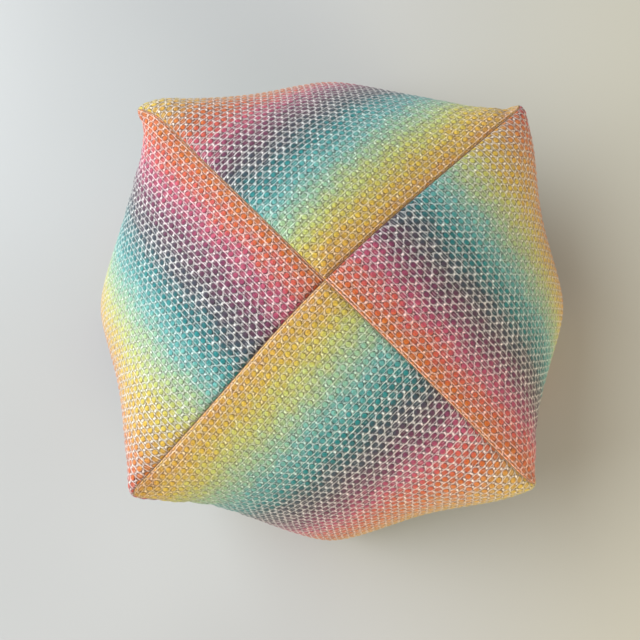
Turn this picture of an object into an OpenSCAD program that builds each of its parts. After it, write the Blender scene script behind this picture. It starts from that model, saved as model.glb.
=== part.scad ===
// Stuffed four-panel cushion. Four woven rectangles, each two squares long, are sewn edge to edge
// round a filled liner bag: four squares meet at the crown, four at the base, and the eight outer
// corners alternate between an upper and a lower ring. Millimetres, +Z up, base centre at the origin.

/* [Size] */
// Side of one fabric square; each panel is one square wide and two long
square_w = 200; // [120:5:260]

/* [Stuffed shape, as shares of the square's side] */
// Height of the crown above the floor
crown_h = 0.89; // [0.82:0.01:0.96]
// Reach of the upper corners from the axis
upper_reach = 0.98; // [0.94:0.01:1.0]
// Height of the upper corners
upper_h = 0.69; // [0.6:0.01:0.75]
// Reach of the lower corners from the axis
lower_reach = 1.0; // [0.96:0.01:1.02]
// Height of the lower corners
lower_h = 0.03; // [0.02:0.01:0.1]
// How far the top seams arch above a straight line
seam_rise = 0.04; // [0:0.01:0.08]
// Fullness of the upper squares near the crown
top_puff_in = 0.12; // [0.05:0.01:0.2]
// Fullness of the upper squares near the lower corner
top_puff_out = 0.31; // [0.2:0.01:0.36]
// Fullness of the lower squares near the base centre
base_puff_in = 0.16; // [0.1:0.01:0.2]
// Fullness of the lower squares near the upper corner
base_puff_out = 0.45; // [0.3:0.01:0.5]

/* [Cloth and thread] */
// Thickness of the woven cover
cover_t = 3; // [2:0.5:5]
// Thickness of the cotton liner
liner_t = 1.2; // [0.8:0.2:2]
// Space between the cover and the liner
layer_gap = 0.3; // [0.2:0.1:1]
// Width of the groove that a seam leaves between two panels
seam_groove = 1.6; // [1.2:0.2:2.4]
// Diameter of the sewing thread
thread_d = 1.2; // [0.6:0.2:1.2]
// Length of the hand-closed opening in one base seam
opening_l = 90; // [60:5:110]

/* [Smoothness] */
// Facets along a square's side in the cover
cover_cells = 12; // [8:2:14]
// Facets along a square's side in the liner and the filling
inner_cells = 8; // [6:2:10]

/* [Hidden] */

QUARTER = 90;            // turn from one panel to the next
TOP_TILT = 47;           // angle above level in which the upper squares bulge
BASE_TILT = 51;          // angle below level in which the lower squares bulge
THREAD_SIDES = 4;
STITCH_CLEAR = 0.02;     // share of a seam left free of thread at each end
ZIGZAG = 0.25;           // sideways swing of a hand stitch, mm
HAND_SPAN = 0.96;        // share of the opening that the hand stitches run along
HAND_THREAD = 0.6;       // thickness of the hand thread, as a share of the sewing thread's
liner_in = cover_t + layer_gap;
filling_in = liner_in + liner_t + layer_gap;
opening_share = opening_l / square_w / 2;

// ---- The stuffed surface ------------------------------------------------------------------

// A point given by its reach, its compass angle (0 is the back, 90 the right) and its height
function place(reach, compass, h) =
    square_w * [reach * sin(compass), reach * cos(compass), h];

crown = place(0, 0, crown_h);
base = place(0, 0, 0);
function upper(compass) = place(upper_reach, compass, upper_h);
function lower(compass) = place(lower_reach, compass, lower_h);

// The point at (u, v) of the flat-sided square whose corners are a, b, c, d in (u, v) order
function in_square(a, b, c, d, u, v) =
    (1 - u) * (1 - v) * a + u * (1 - v) * b + (1 - u) * v * c + u * v * d;

function bernstein(i, t) = [1, 3, 3, 1][i] * pow(t, i) * pow(1 - t, 3 - i);
function is_inner(i) = i == 1 || i == 2;

// Control points of the upper square of the back panel: its corners are the crown, the upper
// corners on either side, and the lower corner behind
function top_lift(i, j) =
    is_inner(i) && is_inner(j)
        ? square_w * (top_puff_in + (top_puff_out - top_puff_in) * (i + j - 2) / 2)
            * [0, cos(TOP_TILT), sin(TOP_TILT)]
        : (i == 0 && is_inner(j)) || (j == 0 && is_inner(i)) ? square_w * [0, 0, seam_rise]
        : [0, 0, 0];
top_net = [for (i = [0:3]) [for (j = [0:3])
    in_square(crown, upper(45), upper(-45), lower(0), i / 3, j / 3) + top_lift(i, j)]];

// Control points of its lower square, whose inner seams lie on the floor
function base_push(i, j) =
    is_inner(i) && is_inner(j)
        ? square_w * (base_puff_out + (base_puff_in - base_puff_out) * (i + j - 2) / 2)
            * [-cos(BASE_TILT) * sin(45), cos(BASE_TILT) * cos(45), -sin(BASE_TILT)]
        : [0, 0, 0];
function on_floor(p, i, j) = (i == 3 && is_inner(j)) || (j == 3 && is_inner(i)) ? [p.x, p.y, 0] : p;
base_net = [for (i = [0:3]) [for (j = [0:3])
    on_floor(in_square(upper(-45), lower(0), lower(-90), base, i / 3, j / 3), i, j) + base_push(i, j)]];

function on_net(net, u, v) = [for (axis = [0:2])
    [for (i = [0:3]) bernstein(i, u)] * [for (i = [0:3])
        [for (j = [0:3]) bernstein(j, v)] * [for (j = [0:3]) net[i][j][axis]]]];

// The back panel, u from 0 to 1 across it and v from 0 to 2 along it, resting on the floor
function stuffed(u, v) = let (p = v <= 1 ? on_net(top_net, u, v) : on_net(base_net, u, v - 1))
    [p.x, p.y, max(p.z, 0)];

// The same point on a skin that lies a depth inside the outer surface
function inset(p, depth) = let (across = 1 - depth / (lower_reach * square_w))
    [p.x * across, p.y * across, depth + p.z * (1 - 2 * depth / (crown_h * square_w))];

function turned(p, quarter) = let (c = cos(quarter * QUARTER), s = sin(quarter * QUARTER))
    [p.x * c + p.y * s, p.y * c - p.x * s, p.z];

// ---- Building blocks ----------------------------------------------------------------------

// Faces of a grid of rows by columns, two triangles a cell, starting at point number first
function grid_faces(rows, cols, first, outward) = [for (r = [0:rows - 2]) for (c = [0:cols - 2])
    let (a = first + r * cols + c, b = a + 1, d = a + cols, e = d + 1)
    each outward ? [[a, e, b], [a, d, e]] : [[a, b, e], [a, e, d]]];

// Point numbers round the edge of such a grid, in order
function rim(rows, cols) = concat(
    [for (c = [0:cols - 2]) c],
    [for (r = [0:rows - 2]) r * cols + cols - 1],
    [for (c = [cols - 1:-1:1]) (rows - 1) * cols + c],
    [for (r = [rows - 1:-1:1]) r * cols]);

// One panel: a closed skin between two depths, its edges drawn in by half the seam's groove
module panel(quarter, depth, thickness, cells) {
    edge = seam_groove / 2 / square_w;
    us = [for (k = [0:cells]) edge + (1 - 2 * edge) * k / cells];
    vs = [for (k = [0:2 * cells]) edge + (2 - 2 * edge) * k / (2 * cells)];
    outer = [for (v = vs) for (u = us) turned(inset(stuffed(u, v), depth), quarter)];
    inner = [for (v = vs) for (u = us) turned(inset(stuffed(u, v), depth + thickness), quarter)];
    n = len(outer);
    loop = rim(len(vs), len(us));
    polyhedron(concat(outer, inner), concat(
        grid_faces(len(vs), len(us), 0, true),
        grid_faces(len(vs), len(us), n, false),
        [for (k = [0:len(loop) - 1]) let (a = loop[k], b = loop[(k + 1) % len(loop)])
            each [[a, b, b + n], [a, b + n, a + n]]]));
}

// A thread of the given diameter along a list of points; its flats face out from the cushion's middle
module thread(points, diameter) {
    last = len(points) - 1;
    rings = [for (k = [0:last]) let (
        along = points[min(k + 1, last)] - points[max(k - 1, 0)],
        t = along / norm(along),
        out = points[k] - place(0, 0, crown_h / 2),
        side = cross(t, out) / norm(cross(t, out)),
        up = cross(side, t))
        each [for (s = [0:THREAD_SIDES - 1]) let (a = 360 * (s + 0.5) / THREAD_SIDES)
            points[k] + diameter / 2 * (cos(a) * side + sin(a) * up)]];
    first_ring = [for (s = [THREAD_SIDES - 1:-1:0]) s];
    last_ring = [for (s = [0:THREAD_SIDES - 1]) last * THREAD_SIDES + s];
    sides = [for (k = [0:last - 1]) for (s = [0:THREAD_SIDES - 1]) let (
        a = k * THREAD_SIDES + s, b = k * THREAD_SIDES + (s + 1) % THREAD_SIDES)
        each [[a, b, b + THREAD_SIDES], [a, b + THREAD_SIDES, a + THREAD_SIDES]]];
    polyhedron(rings, concat([first_ring, last_ring], sides));
}

// The three kinds of seam on the back panel, each from its start (0) to its end (1)
function top_line(t) = stuffed(t, 0);
function side_line(t) = stuffed(1, t);
function base_line(t) = stuffed(1, 1 + t);
function seam_line(kind, t) = kind == "top" ? top_line(t) : kind == "side" ? side_line(t) : base_line(t);

module seam_thread(kind, quarter, depth, cells, from = STITCH_CLEAR, to = 1 - STITCH_CLEAR) {
    thread([for (k = [0:cells]) turned(inset(seam_line(kind, from + (to - from) * k / cells), depth), quarter)],
        thread_d);
}

// Hand stitches that cross from one edge of the opening to the other
module ladder(quarter, depth, steps) {
    thread([for (k = [0:steps])
        let (
            t = 0.5 + opening_share * HAND_SPAN * (2 * k / steps - 1),
            p = inset(base_line(t), depth),
            swing = (k % 2 == 0 ? 1 : -1) * ZIGZAG)
        turned([p.x + swing, p.y, p.z], quarter)],
        thread_d * HAND_THREAD);
}

// Base seams carry machine stitching on both sides of an opening where they have one
module base_seam(quarter, depth, cells, opening) {
    if (opening) {
        seam_thread("base", quarter, depth, cells / 2, to = 0.5 - opening_share);
        seam_thread("base", quarter, depth, cells / 2, from = 0.5 + opening_share);
    } else {
        seam_thread("base", quarter, depth, cells);
    }
}

// ---- Sub-parts ----------------------------------------------------------------------------

cover_seam_depth = cover_t / 2;
liner_seam_depth = liner_in + liner_t / 2;

module cover_panel(quarter, tint) { color(tint) panel(quarter, 0, cover_t, cover_cells); }
module cover_panel_back() { cover_panel(0, [0.72, 0.72, 0.55]); }
module cover_panel_right() { cover_panel(1, [0.70, 0.50, 0.48]); }
module cover_panel_front() { cover_panel(2, [0.70, 0.70, 0.58]); }
module cover_panel_left() { cover_panel(3, [0.75, 0.60, 0.62]); }

module cover_seam(kind, quarter) { color("darkkhaki") seam_thread(kind, quarter, cover_seam_depth, cover_cells); }
module top_seam_back_right() { cover_seam("top", 0); }
module top_seam_front_right() { cover_seam("top", 1); }
module top_seam_front_left() { cover_seam("top", 2); }
module top_seam_back_left() { cover_seam("top", 3); }
module side_seam_back() { cover_seam("side", 0); }
module side_seam_right() { cover_seam("side", 1); }
module side_seam_front() { cover_seam("side", 2); }
module side_seam_left() { cover_seam("side", 3); }
module base_seam_back() { cover_seam("base", 0); }
module base_seam_right() { cover_seam("base", 1); }
module base_seam_front() { color("darkkhaki") base_seam(2, cover_seam_depth, cover_cells, true); }
module base_seam_left() { cover_seam("base", 3); }
module closing_stitch() { color("tan") ladder(2, cover_seam_depth, cover_cells * 2); }

module liner_panel(quarter) { color("ivory") panel(quarter, liner_in, liner_t, inner_cells); }
module liner_panel_back() { liner_panel(0); }
module liner_panel_right() { liner_panel(1); }
module liner_panel_front() { liner_panel(2); }
module liner_panel_left() { liner_panel(3); }
module liner_seams(kind) {
    color("white") for (quarter = [0:3]) seam_thread(kind, quarter, liner_seam_depth, inner_cells / 2);
}
module liner_top_seams() { liner_seams("top"); }
module liner_side_seams() { liner_seams("side"); }
module liner_base_seams() {
    color("white") for (quarter = [0:3]) base_seam(quarter, liner_seam_depth, inner_cells, quarter == 2);
}
module liner_closing_stitch() { color("white") ladder(2, liner_seam_depth, cover_cells); }

// The stuffing: one closed lump, its four quarters of skin sharing their edges
module filling() {
    us = [for (k = [0:inner_cells]) k / inner_cells];
    vs = [for (k = [0:2 * inner_cells]) k / inner_cells];
    skin = [for (quarter = [0:3]) for (v = vs) for (u = us) turned(inset(stuffed(u, v), filling_in), quarter)];
    count = len(us) * len(vs);
    color("whitesmoke")
        polyhedron(skin, [for (quarter = [0:3]) each grid_faces(len(vs), len(us), quarter * count, true)]);
}

cover_panel_back();
cover_panel_right();
cover_panel_front();
cover_panel_left();
top_seam_back_right();
top_seam_front_right();
top_seam_front_left();
top_seam_back_left();
side_seam_back();
side_seam_right();
side_seam_front();
side_seam_left();
base_seam_back();
base_seam_right();
base_seam_front();
base_seam_left();
closing_stitch();
liner_panel_back();
liner_panel_right();
liner_panel_front();
liner_panel_left();
liner_top_seams();
liner_side_seams();
liner_base_seams();
liner_closing_stitch();
filling();
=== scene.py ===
"""A stuffed four-panel woven cushion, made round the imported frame.

Four woven rectangles, each one square wide and two squares long, are welded along their seams and
inflated by a small cloth simulation. Every piece is then made from that one stuffed surface.
"""
import math

import bpy
import numpy as np
from mathutils import Matrix, Vector


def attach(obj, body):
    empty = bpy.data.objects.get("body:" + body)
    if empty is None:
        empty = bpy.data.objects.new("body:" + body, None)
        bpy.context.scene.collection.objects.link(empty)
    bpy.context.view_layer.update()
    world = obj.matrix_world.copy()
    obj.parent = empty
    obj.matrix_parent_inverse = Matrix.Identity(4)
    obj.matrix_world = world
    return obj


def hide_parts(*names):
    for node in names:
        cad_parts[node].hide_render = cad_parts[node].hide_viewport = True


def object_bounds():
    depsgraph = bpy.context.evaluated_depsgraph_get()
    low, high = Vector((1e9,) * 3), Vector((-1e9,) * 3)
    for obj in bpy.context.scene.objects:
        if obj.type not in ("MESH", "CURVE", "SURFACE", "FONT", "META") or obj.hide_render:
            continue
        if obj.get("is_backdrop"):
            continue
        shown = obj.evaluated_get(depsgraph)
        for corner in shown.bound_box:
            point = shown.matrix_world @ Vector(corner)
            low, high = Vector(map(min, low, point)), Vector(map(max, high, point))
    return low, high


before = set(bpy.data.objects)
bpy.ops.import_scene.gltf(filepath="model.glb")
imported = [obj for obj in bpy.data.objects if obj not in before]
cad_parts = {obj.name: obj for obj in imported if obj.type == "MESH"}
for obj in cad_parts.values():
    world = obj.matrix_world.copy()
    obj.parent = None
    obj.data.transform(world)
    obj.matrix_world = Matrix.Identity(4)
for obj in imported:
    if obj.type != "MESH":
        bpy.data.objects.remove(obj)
cad_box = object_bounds()
SQUARE = (cad_box[1].x - cad_box[0].x) / 2  # side of one fabric square, in metres
MM = 0.001
SIDES = ("back", "right", "front", "left")  # panel 0 lies at the back, and each next one a quarter turn on
TOP_SEAMS = ("back_right", "front_right", "front_left", "back_left")  # where each panel's stripes start

# ---- Cloth simulation: the stuffed surface, in units of the square's side ------------------

GRIDS = ((8, 1200), (16, 500), (32, 350))  # cells along a square's side, and steps at that grid
SEAM_SHRINK = 0.965  # a sewn seam is a little shorter than the cloth beside it
PRESSURE = 1.0e-4  # at the crown; it grows with depth as the filling's weight does
PRESSURE_PER_DEPTH = 2.0e-4
PUSH = 64  # how far a force of 1 moves a point in one step, the same on every grid
STIFFNESS = {"shear": 0.02, "bend": 0.1, "squeeze": 0.3}  # share of a spring's error mended in one step
DAMPING = 0.97  # share of its speed that a point keeps from step to step
FLOOR_GRIP = 0.8  # share of its sideways speed that a point on the floor keeps
START_REACH = 0.88  # of all eight corners, before the stuffing
START_LOWER, START_UPPER, START_CROWN = 0.17, 0.43, 0.6  # heights before the stuffing


def corner(reach, compass, height):
    """A point by its reach from the axis, its compass angle (0 is the back) and its height."""
    a = math.radians(compass)
    return np.array((reach * math.sin(a), reach * math.cos(a), height))


def start_shape(n):
    """The four panels, two flat squares each: panels by rows along v by columns along u by x, y, z."""
    v, u = np.meshgrid(np.arange(2 * n + 1) / n, np.arange(n + 1) / n, indexing="ij")
    u = u[..., None]

    def square(a, b, c, d, v):
        v = v[..., None]
        return (1 - u) * (1 - v) * a + u * (1 - v) * b + (1 - u) * v * c + u * v * d

    panels = []
    for k in range(4):
        turn = 90 * k
        crown, base = corner(0, 0, START_CROWN), corner(0, 0, 0)
        right_up = corner(START_REACH, turn + 45, START_UPPER)
        left_up = corner(START_REACH, turn - 45, START_UPPER)
        low = corner(START_REACH, turn, START_LOWER)
        left_low = corner(START_REACH, turn - 90, START_LOWER)
        top = square(crown, right_up, left_up, low, np.minimum(v, 1))
        under = square(left_up, low, left_low, base, np.maximum(v - 1, 0))
        panels.append(np.where((v <= 1)[..., None], top, under))
    return np.array(panels)


class Cloth:
    """Four panel grids of 2n x n cells, welded along their twelve seams."""

    def __init__(self, n):
        self.n = n
        self.rows, self.cols = 2 * n + 1, n + 1
        self.own = np.arange(4 * self.rows * self.cols).reshape(4, self.rows, self.cols)
        self.weld()
        self.make_springs()

    def weld(self):
        """Sets self.at, the welded point of each panel point. Each panel is sewn to the next."""
        n, parent = self.n, np.arange(self.own.size)

        def root(a):
            while parent[a] != a:
                a = parent[a]
            return a

        for k in range(4):
            here, there = self.own[k], self.own[(k + 1) % 4]
            pairs = [(here[0, :], there[: n + 1, 0])]  # crown to upper corner
            pairs.append((here[: n + 1, n], there[n:, 0]))  # upper corner to lower corner
            pairs.append((here[n:, n], there[2 * n, :]))  # lower corner to base centre
            for a, b in pairs:
                for i, j in zip(a, b):
                    i, j = root(i), root(j)
                    parent[max(i, j)] = min(i, j)
        roots = np.array([root(a) for a in range(self.own.size)])
        welded, at = np.unique(roots, return_inverse=True)
        self.at = at.reshape(self.own.shape)
        self.count = len(welded)

    def make_springs(self):
        """Sets self.batches, the springs as (kind, pairs of points, rest lengths), and self.quads."""
        g, n = self.at, self.n
        cell = 1 / n
        corners = (g[:, :-1, :-1], g[:, :-1, 1:], g[:, 1:, 1:], g[:, 1:, :-1])
        self.quads = np.stack(corners, -1).reshape(-1, 4)
        seam = set()
        for k in range(4):
            for edge in (g[k, 0, :], g[k, -1, :], g[k, :, 0], g[k, :, -1]):
                seam.update(tuple(sorted(e)) for e in zip(edge[:-1].tolist(), edge[1:].tolist()))

        def pairs(*groups):
            e = np.concatenate([np.stack([a.ravel(), b.ravel()], -1) for a, b in groups])
            return np.unique(np.sort(e, axis=1), axis=0)

        neighbours = pairs((g[:, :, :-1], g[:, :, 1:]), (g[:, :-1], g[:, 1:]))
        diagonals = pairs((corners[0], corners[2]), (corners[1], corners[3]))
        next_but_one = pairs((g[:, :, :-2], g[:, :, 2:]), (g[:, :-2], g[:, 2:]))
        kinds = {
            "stretch": (neighbours, cell),
            "shear": (diagonals, math.sqrt(2) * cell),
            "bend": (next_but_one, 2 * cell),
        }
        self.batches = []
        for kind, (edges, rest) in kinds.items():
            rests = np.full(len(edges), rest)
            if kind == "stretch":
                rests[[tuple(e) in seam for e in edges.tolist()]] *= SEAM_SHRINK
            for batch in batches_without_shared_points(edges, self.count):
                self.batches.append((kind, edges[batch], rests[batch]))

    def normals_and_centres(self, x):
        """Each quad's outward normal, as long as its area, and its middle."""
        a, b, c, d = (x[self.quads[:, k]] for k in range(4))
        return np.cross(c - a, d - b) / 2, (a + b + c + d) / 4

    def spread(self, per_quad):
        """Shares a vector of each quad out among its corners."""
        out = np.zeros((self.count, 3))
        for k in range(4):
            for axis in range(3):
                quarter = per_quad[:, axis] / 4
                out[:, axis] += np.bincount(self.quads[:, k], quarter, minlength=self.count)
        return out

    def settle(self, x, steps):
        """Moves the welded points x under pressure, springs and floor for a number of steps."""
        speed = np.zeros_like(x)
        for _ in range(steps):
            normal, centre = self.normals_and_centres(x)
            depth = x[:, 2].max() - centre[:, 2]
            force = self.spread(normal * (PRESSURE + PRESSURE_PER_DEPTH * depth)[:, None])
            before = x
            x = x + speed * DAMPING + force * PUSH
            for kind, edges, rest in self.batches:
                span = x[edges[:, 1]] - x[edges[:, 0]]
                length = np.linalg.norm(span, axis=1)
                over = length - rest
                if kind == "stretch":  # cloth gives way to a squeeze, not to a pull
                    share = np.where(over > 0, 1.0, STIFFNESS["squeeze"])
                else:
                    share = STIFFNESS[kind]
                move = (share * over / length / 2)[:, None] * span
                x[edges[:, 0]] += move
                x[edges[:, 1]] -= move
            floored = x[:, 2] < 0
            x[floored, 2] = 0
            speed = x - before
            speed[floored, :2] *= FLOOR_GRIP
        return x

    def normals(self, x):
        """Outward unit vectors at the points, shared by both panels along a seam."""
        out = self.spread(self.normals_and_centres(x)[0])
        return out / np.linalg.norm(out, axis=1, keepdims=True)


def batches_without_shared_points(edges, count):
    """Yields the springs in batches whose springs can all move at once, as no two share a point."""
    left = list(range(len(edges)))
    pairs = edges.tolist()
    while left:
        used, taken, rest = bytearray(count), [], []
        for k in left:
            a, b = pairs[k]
            if used[a] or used[b]:
                rest.append(k)
            else:
                used[a] = used[b] = 1
                taken.append(k)
        yield np.array(taken)
        left = rest


def finer(grid):
    """Twice as many cells each way."""
    k, rows, cols, _ = grid.shape
    out = np.zeros((k, 2 * rows - 1, 2 * cols - 1, 3))
    out[:, ::2, ::2] = grid
    out[:, 1::2, ::2] = (grid[:, 1:] + grid[:, :-1]) / 2
    out[:, :, 1::2] = (out[:, :, 2::2] + out[:, :, :-2:2]) / 2
    return out


def stuff_the_cushion():
    """Runs the simulation from coarse to fine. Returns the panels' points in metres, their normals and the
    finest cloth."""
    grid = start_shape(GRIDS[0][0])
    for n, steps in GRIDS:
        if grid.shape[2] != n + 1:
            grid = finer(grid)
        cloth = Cloth(n)
        x = np.zeros((cloth.count, 3))
        x[cloth.at] = grid
        x = cloth.settle(x, steps)
        grid = x[cloth.at]
    return grid * SQUARE, cloth.normals(x)[cloth.at], cloth


# ---- Small irregularities of the sewn piece -------------------------------------------------

# (panel, u, v, shift in mm, reach in squares): how far sewing, filling and handling moved a place from the
# even shape. The reach is how far round the place the shift is felt.
SHIFTS = (
    # the crown and the four upper corners
    (0, 0.0, 0.0, (-3.1, 0.7, 0.0), 0.42),
    (0, 1.0, 0.0, (1.4, -2.3, 0.0), 0.42),
    (1, 1.0, 0.0, (-0.3, 1.8, 0.0), 0.42),
    (2, 1.0, 0.0, (2.8, -0.8, 0.0), 0.42),
    (3, 1.0, 0.0, (1.7, 0.4, 0.0), 0.42),
    # the pointed ends of the upper corners
    (1, 1.0, 0.0, (0.3, 1.2, 0.0), 0.1),
    (2, 1.0, 0.0, (-2.1, -1.0, 0.0), 0.08),
    (3, 1.0, 0.0, (-4.8, -2.4, 0.0), 0.07),
    (0, 0.1, 1.0, (-2.0, 3.0, 0.0), 0.07),
    # a dimple beside one corner, and a flattened one
    (2, 0.89, 0.06, (0.0, 0.0, -3.5), 0.06),
    (2, 0.1, 0.92, (0.0, 0.0, 3.0), 0.1),
    # fuller cloth beside each upper corner
    (0, 0.2, 0.95, (-1.8, 3.2, 0.0), 0.22),
    (1, 0.2, 0.95, (5.2, 3.4, 0.0), 0.22),
    (2, 0.2, 0.95, (3.5, -5.2, 0.0), 0.22),
    (3, 0.2, 0.95, (-4.4, -2.8, 0.0), 0.22),
    # side seams drawn in or let out, just below three of the corners
    (0, 1.0, 0.13, (-2.5, -5.5, 0.0), 0.12),
    (0, 1.0, 0.4, (0.0, 1.5, 0.0), 0.15),
    (3, 1.0, 0.13, (4.0, -1.8, 0.0), 0.12),
    (2, 1.0, 0.13, (0.0, -3.0, 0.0), 0.12),
    # a lower corner that sits back
    (2, 1.0, 1.0, (0.0, 5.0, 0.0), 0.25),
)


def handled(grid):
    """Moves the points by the shifts of the places near them, which fade away smoothly with distance."""
    out = grid.copy()
    n = grid.shape[2] - 1
    for panel, u, v, shift, reach in SHIFTS:
        place = grid[panel, round(v * n), round(u * n)]
        near = np.exp(-(((grid - place) / (reach * SQUARE)) ** 2).sum(-1))
        out += near[..., None] * np.array(shift) * MM
    return out


# ---- The woven cloth's pattern --------------------------------------------------------------

REPEATS_ALONG = 31  # weave repeats across one square, along the stripes
REPEATS_ACROSS = 25.5  # and across the stripes
ALONG_STEPS, ACROSS_STEPS = 6, 8  # mesh cells in one repeat
COVER_THICKNESS = 3 * MM
DOT_HEIGHT, THREAD_HEIGHT = 0.75 * MM, 0.5 * MM
DOT_ALONG, DOT_ACROSS = 0.29, 0.27  # half of a raised dot's length and width, in repeats
NET_PLACE, NET_SWING = 0.24, 0.12  # a net thread's distance from its row of dots, and its swing, in repeats
RELIEF_FADE = 2.5 * MM  # the relief fades out this near to a panel's edge
TUCK_DEPTH, TUCK_WIDTH = 1.8 * MM, 4.5 * MM  # how far and how near the edge a panel rolls into its seam
INNER_TUCK = 0.5  # a panel's inner face and the liner roll in this much of that


def smooth_step(x, low, high):
    """0 below low and 1 above high, with a smooth rise between."""
    x = np.clip((x - low) / (high - low), 0, 1)
    return x * x * (3 - 2 * x)


def from_whole(x):
    """Distance from the nearest whole number."""
    return np.abs(x - np.round(x))


def weave_relief(s, t):
    """Height of the weave over its ground at repeat s along the stripe and t across it."""
    a, b = from_whole(s), from_whole(t)
    dot = np.sqrt(np.clip(1 - (a / DOT_ALONG) ** 2 - (b / DOT_ACROSS) ** 2, 0, None))
    net = 1 - smooth_step(np.abs(b - (NET_PLACE + NET_SWING * np.cos(2 * math.pi * a))), 0.02, 0.12)
    crossing = (1 - smooth_step(a, 0.1, 0.24)) * smooth_step(b, 0.28, 0.4)
    meeting = smooth_step(a, 0.28, 0.42) * (1 - smooth_step(b, 0.08, 0.18))
    thread = np.maximum(net, np.maximum(crossing, meeting))
    return np.maximum(DOT_HEIGHT * dot, THREAD_HEIGHT * thread)


# ---- Surfaces cut from the stuffed shape ----------------------------------------------------


def between(count, x):
    """Weights, len(x) by count + 1, that read a smooth curve through count + 1 points at x in 0..count."""
    x = np.asarray(x, float)
    cell = np.clip(np.floor(x).astype(int), 0, count - 1)
    f = x - cell
    parts = (
        (-f + 2 * f**2 - f**3) / 2,
        (2 - 5 * f**2 + 3 * f**3) / 2,
        (f + 4 * f**2 - 3 * f**3) / 2,
        (f**3 - f**2) / 2,
    )
    out = np.zeros((len(x), count + 3))
    for k, part in enumerate(parts):
        out[np.arange(len(x)), cell + k] += part
    # a point beyond each end lies on the straight line through the last two
    out[:, 1] += 2 * out[:, 0]
    out[:, 2] -= out[:, 0]
    out[:, -2] += 2 * out[:, -1]
    out[:, -3] -= out[:, -1]
    return out[:, 1:-1]


class Stuffed:
    """The stuffed surface of all four panels, read at any u across and v along a panel."""

    def __init__(self):
        self.grid, self.normal, self.cloth = stuff_the_cushion()
        self.grid = handled(self.grid)
        self.grid[..., 2] += DOT_HEIGHT  # the cushion stands on the dots of its weave
        self.n = self.grid.shape[2] - 1

    def read(self, field, panel, u, v):
        """A field of the grid's points, such as self.grid, at v rows and u columns of a panel."""
        wu = between(self.n, np.asarray(u) * self.n)
        wv = between(2 * self.n, np.asarray(v) * self.n)
        return np.einsum("jv,ui,vic->juc", wv, wu, field[panel])

    def outward(self, panel, u, v):
        """Unit vectors that point out of the cushion."""
        out = self.read(self.normal, panel, u, v)
        return out / np.linalg.norm(out, axis=-1, keepdims=True)

    def at(self, panel, u, v, lift):
        """Points at v rows and u columns, lifted off the surface by lift, a number or such a grid."""
        surface, out = self.read(self.grid, panel, u, v), self.outward(panel, u, v)
        lifted = surface + out * np.asarray(lift)[..., None]
        lifted[..., 2] = np.maximum(lifted[..., 2], 0)
        return lifted


def to_edge(u, v):
    """Distance of a grid's points from their panel's nearest edge, in metres."""
    across = np.minimum(u, 1 - u)[None, :]
    along = np.minimum(v, 2 - v)[:, None]
    return np.minimum(across, along) * SQUARE


def tuck(distance):
    """How far a panel has sunk at this distance from its edge, as a quarter of an ellipse."""
    x = np.clip(1 - distance / TUCK_WIDTH, 0, 1)
    return TUCK_DEPTH * (1 - np.sqrt(1 - x * x))


def grid_quads(rows, cols, first=0, flipped=False):
    """The faces of a grid of points that starts at index first."""
    index = first + np.arange(rows * cols).reshape(rows, cols)
    corners = (index[:-1, :-1], index[:-1, 1:], index[1:, 1:], index[1:, :-1])
    quads = np.stack(corners, -1).reshape(-1, 4)
    return quads[:, ::-1] if flipped else quads


def rim_loop(rows, cols, first=0):
    """The indices round a grid's border, in order, from its first point."""
    index = first + np.arange(rows * cols).reshape(rows, cols)
    return np.concatenate([index[0, :-1], index[:-1, -1], index[-1, :0:-1], index[:0:-1, 0]])


def make_object(name, points, faces, material, flat_faces=()):
    """A smooth-shaded mesh in the scene. flat_faces lists the faces that are shaded flat."""
    mesh = bpy.data.meshes.new(name)
    mesh.from_pydata(points.tolist(), [], faces)
    mesh.polygons.foreach_set("use_smooth", np.full(len(faces), True))
    for k in flat_faces:
        mesh.polygons[k].use_smooth = False
    mesh.update()
    obj = bpy.data.objects.new(name, mesh)
    obj.data.materials.append(material)
    bpy.context.scene.collection.objects.link(obj)
    return obj


def shell(name, material, outer, inner, ratio):
    """A closed sheet of an outer and a coarser inner grid of points; ratio is how many outer cells, along
    each of the two directions, meet one inner cell."""
    rows, cols = outer.shape[:2]
    inner_rows, inner_cols = inner.shape[:2]
    first = rows * cols
    faces = grid_quads(rows, cols).tolist()
    faces += grid_quads(inner_rows, inner_cols, first, flipped=True).tolist()
    rim, inner_rim = rim_loop(rows, cols), rim_loop(inner_rows, inner_cols, first)
    rims, start = [], 0
    wide, high = inner_cols - 1, inner_rows - 1
    for k in range(len(inner_rim)):
        along_u = k < wide or wide + high <= k < 2 * wide + high
        steps = ratio[0] if along_u else ratio[1]
        edge = [int(rim[(start + m) % len(rim)]) for m in range(steps + 1)]
        rims.append(edge[::-1] + [int(inner_rim[k]), int(inner_rim[(k + 1) % len(inner_rim)])])
        start += steps
    points = np.concatenate([outer.reshape(-1, 3), inner.reshape(-1, 3)])
    flat = range(len(faces), len(faces) + len(rims))
    return make_object(name, points, faces + rims, material, flat_faces=flat)


# ---- Materials ------------------------------------------------------------------------------


def linear(red, green, blue):
    """A colour from its screen values, 0 to 255."""
    out = []
    for value in (red, green, blue):
        value /= 255
        out.append(value / 12.92 if value <= 0.04045 else ((value + 0.055) / 1.055) ** 2.4)
    return (*out, 1.0)


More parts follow.
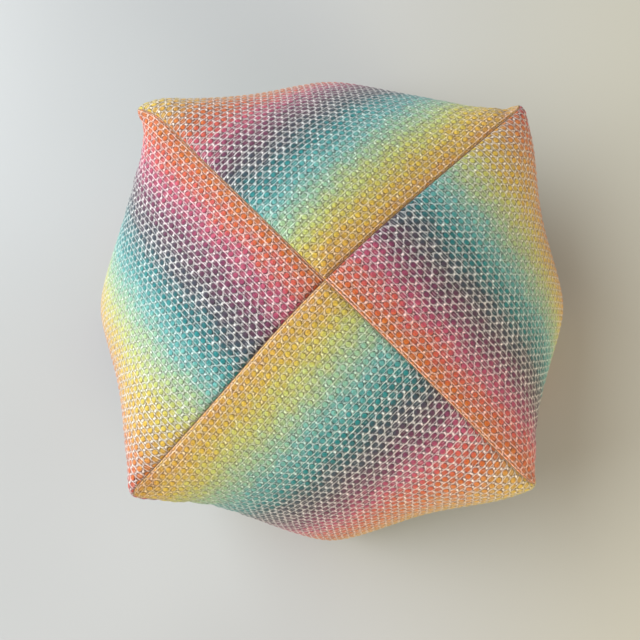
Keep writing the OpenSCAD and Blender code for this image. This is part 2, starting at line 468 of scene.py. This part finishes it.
class Number:
    """A number that a node tree works out for each point of a surface, for plain arithmetic."""

    def __init__(self, tree, socket):
        self.tree, self.socket = tree, socket

    def node(self, kind, *values, **settings):
        """A new node with these settings, and with these values or numbers in its first sockets."""
        made = self.tree.nodes.new(kind)
        for key, value in settings.items():
            setattr(made, key, value)
        for socket, value in zip(made.inputs, values):
            if isinstance(value, Number):
                self.tree.links.new(value.socket, socket)
            else:
                socket.default_value = value
        return made

    def math(self, operation, *others):
        made = self.node("ShaderNodeMath", self, *others, operation=operation)
        return Number(self.tree, made.outputs[0])

    def __add__(self, other):
        return self.math("ADD", other)

    def __sub__(self, other):
        return self.math("SUBTRACT", other)

    def __mul__(self, other):
        return self.math("MULTIPLY", other)

    def step(self, low, high):
        """0 below low and 1 above high, with a smooth rise between."""
        made = self.node("ShaderNodeMapRange", self, low, high, 0.0, 1.0, interpolation_type="SMOOTHSTEP")
        return Number(self.tree, made.outputs[0])

    def fall(self, low, high):
        """1 below low and 0 above high."""
        return self.step(low, high) * -1 + 1

    def near(self, middle, low, high):
        """1 within low of the middle and 0 beyond high."""
        return (self - middle).math("ABSOLUTE").fall(low, high)

    def ramp(self, stops):
        """A colour, from stops of (place, screen colour)."""
        made = self.node("ShaderNodeValToRGB", self)
        elements = made.color_ramp.elements
        while len(elements) < len(stops):
            elements.new(0.5)
        for element, (place, colour) in zip(elements, stops):
            element.position, element.color = place, linear(*colour)
        return made.outputs["Color"]


def mixed(tree, factor, first, second, kind="MIX"):
    """A colour between two, where each is a colour or a socket."""
    made = tree.nodes.new("ShaderNodeMix")
    made.data_type, made.blend_type = "RGBA", kind
    # sockets 0, 6 and 7 are the factor and the two colours, and output 2 is the colour
    for socket, value in ((made.inputs[0], factor), (made.inputs[6], first), (made.inputs[7], second)):
        if isinstance(value, Number):
            tree.links.new(value.socket, socket)
        elif isinstance(value, bpy.types.NodeSocket):
            tree.links.new(value, socket)
        else:
            socket.default_value = value
    return made.outputs[2]


def grey(tree, colour):
    """A colour's lightness."""
    made = tree.nodes.new("ShaderNodeRGBToBW")
    tree.links.new(colour, made.inputs[0])
    return Number(tree, made.outputs[0])


def stretched(tree, vector, *scale):
    """A position with its axes scaled one by one."""
    made = tree.nodes.new("ShaderNodeVectorMath")
    made.operation = "MULTIPLY"
    tree.links.new(vector, made.inputs[0])
    made.inputs[1].default_value = (*scale, 1.0)
    return made.outputs[0]


def new_material(name, roughness, sheen=0.0):
    made = bpy.data.materials.new(name)
    made.use_nodes = True
    shader = made.node_tree.nodes["Principled BSDF"]
    shader.inputs["Roughness"].default_value = roughness
    shader.inputs["Specular IOR Level"].default_value = 0.25
    shader.inputs["Sheen Weight"].default_value = sheen
    shader.inputs["Sheen Roughness"].default_value = 0.5
    return made, made.node_tree, shader


def noise(tree, vector, scale, detail, roughness=0.5):
    made = tree.nodes.new("ShaderNodeTexNoise")
    made.inputs["Scale"].default_value = scale
    made.inputs["Detail"].default_value = detail
    made.inputs["Roughness"].default_value = roughness
    tree.links.new(vector, made.inputs["Vector"])
    return Number(tree, made.outputs["Fac"])


def bump(tree, shader, height, distance, strength=1.0):
    made = tree.nodes.new("ShaderNodeBump")
    made.inputs["Distance"].default_value = distance
    made.inputs["Strength"].default_value = strength
    tree.links.new(height.socket, made.inputs["Height"])
    tree.links.new(made.outputs["Normal"], shader.inputs["Normal"])


# The yarn's colour round one cycle of stripes
YARN = (
    (0.00, (208, 150, 62)),
    (0.10, (208, 175, 66)),
    (0.18, (192, 193, 100)),
    (0.27, (154, 188, 144)),
    (0.36, (100, 168, 160)),
    (0.45, (35, 128, 127)),
    (0.53, (52, 76, 84)),
    (0.60, (80, 60, 74)),
    (0.68, (122, 56, 86)),
    (0.76, (186, 78, 104)),
    (0.82, (204, 88, 74)),
    (0.89, (204, 103, 38)),
    (0.95, (208, 128, 62)),
    (1.00, (208, 150, 62)),
)
OFF_WHITE = (255, 250, 242)
GAP_SHADOW_ON_DARK_YARN, GAP_SHADOW_ON_LIGHT_YARN = (104, 96, 100), (225, 215, 208)  # painted shadow in the gaps between threads, on dark and on light yarn
FLAT_TINT = (242, 240, 240)  # the flat dots are a little duller than the raised ones
FLECKS = ((0.38, (130, 125, 125)), (0.6, (255, 255, 255)))
DRIFT = 0.14  # how far unevenness moves the pattern, in repeats
LINER_THREADS = 4  # pairs of liner threads in one weave repeat


def ellipse(x, y, half_x, half_y):
    """0 at an ellipse's centre and 1 on its outline."""
    return x * x * (1 / half_x**2) + y * y * (1 / half_y**2)


def weave_place(tree):
    """The mesh's weave attribute as a vector, and as three numbers: a point's repeat along the stripe, its
    repeat across it and its place in the colour cycle."""
    attribute = tree.nodes.new("ShaderNodeAttribute")
    attribute.attribute_name = "weave"
    place = attribute.outputs["Vector"]
    parts = tree.nodes.new("ShaderNodeSeparateXYZ")
    tree.links.new(place, parts.inputs[0])
    return place, *(Number(tree, socket) for socket in parts.outputs)


def woven_material():
    """Rows of round raised yarn dots between rows of flat ones, in a net of off-white threads."""
    made, tree, shader = new_material("woven_cover", 0.85, 0.2)
    place, s, t, cycle = weave_place(tree)
    uneven = noise(tree, place, 0.9, 3.0)
    wobble = noise(tree, place, 2.3, 1.0)
    strand = noise(tree, stretched(tree, place, 2.4, 8.0), 1.0, 0.0).step(0.42, 0.58)

    # distances along and across from the nearest round dot's middle, in repeats
    a = (s + (wobble - 0.5) * DRIFT).math("PINGPONG", 0.5)
    b = (t + (uneven - 0.5) * DRIFT).math("PINGPONG", 0.5)

    # light threads: the net, the spots where its threads come together, and fine lines along the stripes
    wave = (a * (2 * math.pi)).math("COSINE")
    net = (b - wave * NET_SWING).near(NET_PLACE, 0.005, 0.06)
    crossing = a.fall(0.06, 0.16) * b.step(0.37, 0.43)
    meeting = a.step(0.35, 0.44) * b.fall(0.06, 0.12)
    light = (net * 0.75).math("MAXIMUM", crossing.math("MAXIMUM", meeting)) * (strand * 0.6 + 0.4)
    row = (t + (noise(tree, place, 0.5, 1.0) - 0.5) * DRIFT).math("FRACT")
    upper_line = row.near(0.28, 0.02, 0.055) * (strand * 0.3 + 0.55)
    middle_line = row.near(0.5, 0.02, 0.055) * strand * 0.2
    lower_line = row.near(0.73, 0.015, 0.05) * 0.5
    for line in (upper_line, lower_line, middle_line):
        light = light.math("MAXIMUM", line)

    # the dots, with a shadow round each raised one
    round_dot = ellipse(a, b, 0.3, 0.25)
    flat_dot = ellipse(a - 0.5, b - 0.5, 0.32, 0.25).fall(0.75, 1.05)
    dot = round_dot.fall(0.8, 1.0)
    rim = round_dot.step(0.85, 1.0) * round_dot.fall(1.1, 1.4)

    # a plain edge with one light thread, where the stripes start
    selvedge = t.fall(0.08, 0.12)
    edge_line = t.near(0.06, 0.02, 0.05)
    light = light + (edge_line * 0.5 + strand * 0.3 - light) * selvedge

    # the yarn's colour, the pale threads and the shade in the gaps
    wander = noise(tree, place, 0.16, 2.0)
    turned = (cycle + (wander - 0.5) * 0.06 + (uneven - 0.5) * 0.16).math("FRACT")
    yarn = turned.ramp(YARN)
    lightness = grey(tree, yarn)
    darkness = lightness * -1 + 1
    pale = mixed(tree, darkness * (darkness + 1) * 0.45, yarn, linear(*OFF_WHITE), "ADD")
    far_sheen = (t * (1 / REPEATS_ACROSS)).step(0.45, 0.75)  # painted sheen: past the middle of a square, where the cloth slopes away, the threads are painted whiter
    pale = mixed(tree, far_sheen * 0.6, pale, linear(*OFF_WHITE))
    # painted shadow: the yarn is darkened in the gaps between the threads, less on light yarn
    depth = mixed(tree, lightness * 0.8, linear(*GAP_SHADOW_ON_DARK_YARN), linear(*GAP_SHADOW_ON_LIGHT_YARN))
    shadow = mixed(tree, 1.0, yarn, depth, "MULTIPLY")
    dull = mixed(tree, 1.0, yarn, linear(*FLAT_TINT), "MULTIPLY")

    # laid over each other, from the ground up
    colour = mixed(tree, strand * 0.25, shadow, pale)
    colour = mixed(tree, flat_dot * 0.9, colour, dull)
    colour = mixed(tree, dot.math("MAXIMUM", selvedge), colour, yarn)
    colour = mixed(tree, rim * 0.6, colour, shadow)
    colour = mixed(tree, light, colour, pale)
    colour = mixed(tree, 0.4, colour, noise(tree, place, 7.0, 1.0).ramp(FLECKS), "MULTIPLY")
    tree.links.new(colour, shader.inputs["Base Color"])
    height = dot.math("MAXIMUM", light * 0.9).math("MAXIMUM", flat_dot * 0.6) + strand * 0.4
    bump(tree, shader, height, 0.7 * MM, 0.8)
    return made


def plain_cloth_material():
    """Unbleached cotton in a plain weave, from two crossing waves in the mesh's own grid directions."""
    made, tree, shader = new_material("liner_cotton", 0.9)
    place, s, t, _ = weave_place(tree)
    warp = (s * (LINER_THREADS * 2 * math.pi)).math("SINE")
    weft = (t * (LINER_THREADS * 2 * math.pi)).math("SINE")
    weave = warp * weft
    slub = noise(tree, place, 3.0, 3.0)
    colour = (weave * 0.25 + slub).ramp(((0.1, (204, 198, 182)), (0.9, (240, 236, 222))))
    tree.links.new(colour, shader.inputs["Base Color"])
    bump(tree, shader, weave * 0.5 + slub, 0.15 * MM)
    return made


def thread_material(name, dark, light):
    """A spun thread: fine fibres, mottled between two tones of one colour."""
    made, tree, shader = new_material(name, 0.8)
    where = tree.nodes.new("ShaderNodeTexCoord").outputs["Object"]
    fibre = noise(tree, where, 2600.0, 3.0, 0.7)
    tree.links.new(fibre.ramp(((0.3, dark), (0.7, light))), shader.inputs["Base Color"])
    bump(tree, shader, fibre, 0.1 * MM)
    return made


def fibre_material():
    """White staple fibre, in a matted mass."""
    made, tree, shader = new_material("filling_fibre", 1.0, 0.3)
    where = tree.nodes.new("ShaderNodeTexCoord").outputs["Object"]
    tuft = noise(tree, where, 60.0, 6.0, 0.7)
    strand = noise(tree, where, 900.0, 3.0, 0.7)
    colour = (tuft * 0.6 + strand * 0.4).ramp(((0.3, (214, 214, 210)), (0.7, (246, 246, 244))))
    tree.links.new(colour, shader.inputs["Base Color"])
    bump(tree, shader, tuft + strand * 0.5, 2 * MM)
    return made


# ---- The pieces -----------------------------------------------------------------------------

STRIPE_CYCLE = 0.87  # squares of length in one colour cycle
# (cycle at v = 0, cycles per square): alternate panels were cut from the web the other way round
STRIPES = ((0.0, 1 / STRIPE_CYCLE), (0.92, -1.12), (0.0, 1 / STRIPE_CYCLE), (0.92, -1.09))

stuffed = Stuffed()
woven = woven_material()


def set_weave(obj, grids, cycle_start, cycle_rate):
    """Writes the weave attribute: repeats along and across the stripes, and the colour cycle."""
    values = []
    for u, v in grids:
        vv, uu = np.meshgrid(v, u, indexing="ij")
        cycle = 2 + cycle_start + cycle_rate * vv  # two whole cycles more keep it above zero
        values.append(np.stack([uu * REPEATS_ALONG, vv * REPEATS_ACROSS, cycle], -1).reshape(-1, 3))
    attribute = obj.data.attributes.new("weave", "FLOAT_VECTOR", "POINT")
    attribute.data.foreach_set("vector", np.concatenate(values).astype(np.float32).ravel())


def place_piece(obj, slot, *nodes):
    """Puts a piece on the cushion's one body, in place of CAD nodes. The slot is not used."""
    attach(obj, "root")
    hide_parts(*nodes)


cover_columns = REPEATS_ALONG * ALONG_STEPS
cover_rows = round(2 * REPEATS_ACROSS) * ACROSS_STEPS
for k, side in enumerate(SIDES):
    u, v = np.linspace(0, 1, cover_columns + 1), np.linspace(0, 2, cover_rows + 1)
    edge = to_edge(u, v)
    relief = weave_relief((u * REPEATS_ALONG)[None, :], (v * REPEATS_ACROSS)[:, None])
    relief = relief * smooth_step(edge, 0, RELIEF_FADE)
    outer = stuffed.at(k, u, v, relief - tuck(edge))
    iu, iv = u[::ALONG_STEPS], v[::ACROSS_STEPS]
    inner = stuffed.at(k, iu, iv, -COVER_THICKNESS - tuck(to_edge(iu, iv)) * INNER_TUCK)
    panel = shell(f"woven_panel_{side}", woven, outer, inner, (ALONG_STEPS, ACROSS_STEPS))
    set_weave(panel, ((u, v), (iu, iv)), *STRIPES[k])
    place_piece(panel, "woven_cover", f"cover_panel_{side}")

# Threads: a machine stitch is a thread that dips once a stitch
STITCH = 2.5 * MM
THREAD_RADIUS = 0.35 * MM
STITCH_DIP = 0.5 * THREAD_RADIUS
RINGS_PER_STITCH = 8
THREAD_SIDES = 6
OPENING = 90 * MM  # the hand-closed opening, in the middle of the front base seam
RUNG_STEP = 4 * MM  # the ladder stitch crosses the seam once in this length
RUNG_INSET = 1.0 * MM  # and runs this far from the seam's line
RINGS_PER_RUN = 6
HAND_THREAD_RADIUS = THREAD_RADIUS * 1.3
HAND_DEPTH = 0.6  # of the sewn thread's depth
LINER_DEPTH = COVER_THICKNESS + 0.3 * MM  # of the liner's outer face, below the stuffed surface
LINER_THICKNESS = 1.2 * MM
LINER_CELLS = 40  # along a square's side


def on_seam(kind, k, share, inset=0.0, second=False):
    """(panel, u, v) at a share of a seam's length, inset squares from the seam's line. The panel is the
    seam's first or, with second, the panel that it is sewn to."""
    after = (k + 1) % 4
    if kind == "top":  # panel k's near edge is its neighbour's left edge
        return ((k - 1) % 4, inset, share) if second else (k, share, inset)
    if kind == "side":
        return (after, inset, 1 + share) if second else (k, 1 - inset, share)
    return (after, share, 2 - inset) if second else (k, 1 - inset, 1 + share)


def seam_points(kind, k, shares, lift, inset=0.0, second=False):
    """Points along a seam, and the surface's outward directions there."""
    places = [on_seam(kind, k, share, inset, second) for share in shares]
    panel = places[0][0]
    us, vs = np.array([p[1] for p in places]), np.array([p[2] for p in places])
    if np.ptp(us) > np.ptp(vs):
        vs = vs[:1]
    else:
        us = us[:1]
    surface = stuffed.read(stuffed.grid, panel, us, vs).reshape(-1, 3)
    out = stuffed.outward(panel, us, vs).reshape(-1, 3)
    points = surface + out * np.asarray(lift)[..., None]
    points[:, 2] = np.maximum(points[:, 2], THREAD_RADIUS)
    return points, out


def tube(path, out, radius):
    """Points and faces of a closed tube along a path, where out is the surface's outward direction."""
    tangent = np.gradient(path, axis=0)
    tangent /= np.linalg.norm(tangent, axis=1, keepdims=True)
    side = np.cross(tangent, out)
    side /= np.linalg.norm(side, axis=1, keepdims=True)
    up = np.cross(side, tangent)
    sides = THREAD_SIDES
    turn = np.arange(sides) * 2 * math.pi / sides
    ring = side[:, None] * np.cos(turn)[None, :, None] + up[:, None] * np.sin(turn)[None, :, None]
    points = (path[:, None] + radius * ring).reshape(-1, 3)
    faces = []
    for r in range(len(path) - 1):
        for c in range(sides):
            d = (c + 1) % sides
            faces.append([r * sides + c, (r + 1) * sides + c, (r + 1) * sides + d, r * sides + d])
    faces.append(list(range(sides)))
    last = (len(path) - 1) * sides
    faces.append([last + c for c in reversed(range(sides))])
    return points, faces


def joined(parts):
    """One list of points and one of faces, from several of each."""
    points, faces, first = [], [], 0
    for part_points, part_faces in parts:
        points.append(part_points)
        faces += [[first + i for i in face] for face in part_faces]
        first += len(part_points)
    return np.concatenate(points), faces


def sewn(kind, k, depth, start=0.0, end=1.0):
    """A machine-sewn thread along a stretch of a seam, at a depth below the stuffed surface."""
    stitches = max(1, round((end - start) * SQUARE / STITCH))
    shares = np.linspace(start, end, stitches * RINGS_PER_STITCH + 1)
    phase = np.linspace(0, stitches, len(shares))
    dip = STITCH_DIP * np.cos(2 * math.pi * phase)
    path, out = seam_points(kind, k, shares, -depth - dip)
    return tube(path, out, THREAD_RADIUS)


def ladder(k, depth, start, end):
    """A hand-sewn ladder stitch: it runs along one edge, crosses, runs along the other and crosses back."""
    steps = round((end - start) * SQUARE / RUNG_STEP)
    shares = np.linspace(start, end, steps + 1)
    inset = RUNG_INSET / SQUARE
    edges = [seam_points("base", k, shares, -depth, inset, second) for second in (False, True)]
    line, outs = [], []
    for m in range(steps):
        for side in (m % 2, 1 - m % 2):
            points, out = edges[side]
            line.append(points[m])
            outs.append(out[m])
    runs = len(line) - 1
    weights = between(runs, np.linspace(0, runs, runs * RINGS_PER_RUN + 1))
    return tube(weights @ np.array(line), weights @ np.array(outs), HAND_THREAD_RADIUS)


cover_thread = thread_material("cover_thread", (112, 84, 58), (168, 132, 96))
hand_thread = thread_material("hand_thread", (176, 152, 120), (222, 202, 168))
liner_thread = thread_material("liner_thread", (220, 218, 212), (246, 245, 242))
liner_cotton = plain_cloth_material()
cover_seam_depth = TUCK_DEPTH - 0.2 * MM  # the thread lies a little above the rolled edge
liner_seam_depth = LINER_DEPTH + TUCK_DEPTH * INNER_TUCK
opening = (0.5 - OPENING / SQUARE / 2, 0.5 + OPENING / SQUARE / 2)


def seam_parts(kind, k, depth):
    """A seam's threads: one, or two on either side of the hand-closed opening."""
    if kind == "base" and SIDES[k] == "front":
        return [sewn(kind, k, depth, 0.0, opening[0]), sewn(kind, k, depth, opening[1], 1.0)]
    return [sewn(kind, k, depth)]


for kind, names in (("top", TOP_SEAMS), ("side", SIDES), ("base", SIDES)):
    for k, name in enumerate(names):
        parts = seam_parts(kind, k, cover_seam_depth)
        thread = make_object(f"{kind}_seam_thread_{name}", *joined(parts), cover_thread)
        place_piece(thread, "cover_thread", f"{kind}_seam_{name}")
    parts = [part for k in range(4) for part in seam_parts(kind, k, liner_seam_depth)]
    thread = make_object(f"liner_{kind}_seam_threads", *joined(parts), liner_thread)
    place_piece(thread, "liner_thread", f"liner_{kind}_seams")
front = SIDES.index("front")
stitch = ladder(front, cover_seam_depth * HAND_DEPTH, *opening)
closing = make_object("closing_stitch_thread", *stitch, hand_thread)
place_piece(closing, "hand_thread", "closing_stitch")
stitch = ladder(front, liner_seam_depth, *opening)
closing = make_object("liner_closing_stitch_thread", *stitch, liner_thread)
place_piece(closing, "liner_thread", "liner_closing_stitch")

for k, side in enumerate(SIDES):
    u, v = np.linspace(0, 1, LINER_CELLS + 1), np.linspace(0, 2, 2 * LINER_CELLS + 1)
    sunk = tuck(to_edge(u, v)) * INNER_TUCK
    outer = stuffed.at(k, u, v, -LINER_DEPTH - sunk)
    inner = stuffed.at(k, u, v, -LINER_DEPTH - LINER_THICKNESS - sunk)
    liner = shell(f"cotton_liner_{side}", liner_cotton, outer, inner, (1, 1))
    set_weave(liner, ((u, v), (u, v)), 0, 0)
    place_piece(liner, "liner_cotton", f"liner_panel_{side}")


FILLING_GAP = 0.5 * MM
LUMP_WAVES = ((190.0, 70.0, 130.0), (-60.0, 210.0, 90.0))  # two crossing waves, in radians a metre
LUMP_SHARE = 0.006  # of the way to the filling's middle


def make_filling():
    """The fibre mass: the stuffed surface, shrunk clear of the liner, with shallow lumps."""
    cloth = stuffed.cloth
    depth = LINER_DEPTH + LINER_THICKNESS + TUCK_DEPTH + FILLING_GAP
    u, v = np.linspace(0, 1, stuffed.n + 1), np.linspace(0, 2, 2 * stuffed.n + 1)
    points = np.zeros((cloth.count, 3))
    for k in range(4):
        points[cloth.at[k]] = stuffed.at(k, u, v, -depth)
    first, second = (np.sin(points @ np.array(wave)) for wave in LUMP_WAVES)
    middle = points.mean(0)
    points += (middle - points) * (LUMP_SHARE * (1 + first * second))[:, None]
    filling = make_object("fibre_filling", points, cloth.quads.tolist(), fibre_material())
    place_piece(filling, "filling_fibre", "filling")


make_filling()

# ---- Floor, light and camera ----------------------------------------------------------------

FLOOR_HALF = 6.0  # metres
FLOOR_DROP = 0.2 * MM  # keeps the floor clear of the cushion's base
LIGHT_TARGET = (0, 0, 0.05)
EYE, TARGET = (0.009, -0.359, 3.089), (-0.037, -0.095, 0.6)  # of the camera, in squares


def aim(obj, place, target):
    """Points an object's -Z axis from place to target, with the scene's +Y up in its view."""
    back = (Vector(place) - Vector(target)).normalized()
    right = Vector((0, 1, 0)).cross(back).normalized()
    obj.location = place
    obj.rotation_mode = "QUATERNION"
    obj.rotation_quaternion = Matrix((right, back.cross(right), back)).transposed().to_quaternion()
    bpy.context.scene.collection.objects.link(obj)


def area_light(name, place, size, power, colour):
    """A round light that faces the cushion."""
    light = bpy.data.lights.new(name, "AREA")
    light.shape, light.size, light.energy, light.color = "DISK", size, power, colour
    aim(bpy.data.objects.new(name, light), place, LIGHT_TARGET)


floor_material, tree, shader = new_material("pale_floor", 0.9)
place = tree.nodes.new("ShaderNodeTexCoord").outputs["Object"]
parts = tree.nodes.new("ShaderNodeSeparateXYZ")
tree.links.new(place, parts.inputs[0])
tone = noise(tree, place, 2.4, 1.0).ramp(((0.3, (166, 165, 163)), (0.7, (182, 181, 179))))
# painted light: towards +x the floor is painted warmer and a little brighter, for the warm room light on
# that side
painted_warm_light_right = Number(tree, parts.outputs[0]).step(-0.05, 0.35)
tree.links.new(mixed(tree, painted_warm_light_right, tone, linear(184, 180, 166)), shader.inputs["Base Color"])
corners = FLOOR_HALF * np.array([(-1, -1, 0), (1, -1, 0), (1, 1, 0), (-1, 1, 0)])
floor = make_object("floor", corners - (0, 0, FLOOR_DROP), [[0, 1, 2, 3]], floor_material)
floor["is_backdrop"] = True

area_light("window", (-1.5, 0.45, 1.05), 2.4, 85, (0.88, 0.95, 1.0))
area_light("room", (1.2, -1.15, 0.32), 1.0, 29, (1.0, 0.84, 0.58))
world = bpy.data.worlds.new("soft_room")
world.use_nodes = True
background = world.node_tree.nodes["Background"]
background.inputs["Color"].default_value = linear(242, 240, 238)
background.inputs["Strength"].default_value = 0.47
bpy.context.scene.world = world
bpy.context.scene.view_settings.view_transform = "Standard"

camera = bpy.data.cameras.new("camera")
camera.lens, camera.sensor_width = 38.9, 36
camera.clip_start, camera.clip_end = 0.01, 20
view = bpy.data.objects.new("camera", camera)
aim(view, Vector(EYE) * SQUARE, Vector(TARGET) * SQUARE)
bpy.context.scene.camera = view

sizes = [[list(corner) for corner in box] for box in (cad_box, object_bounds())]
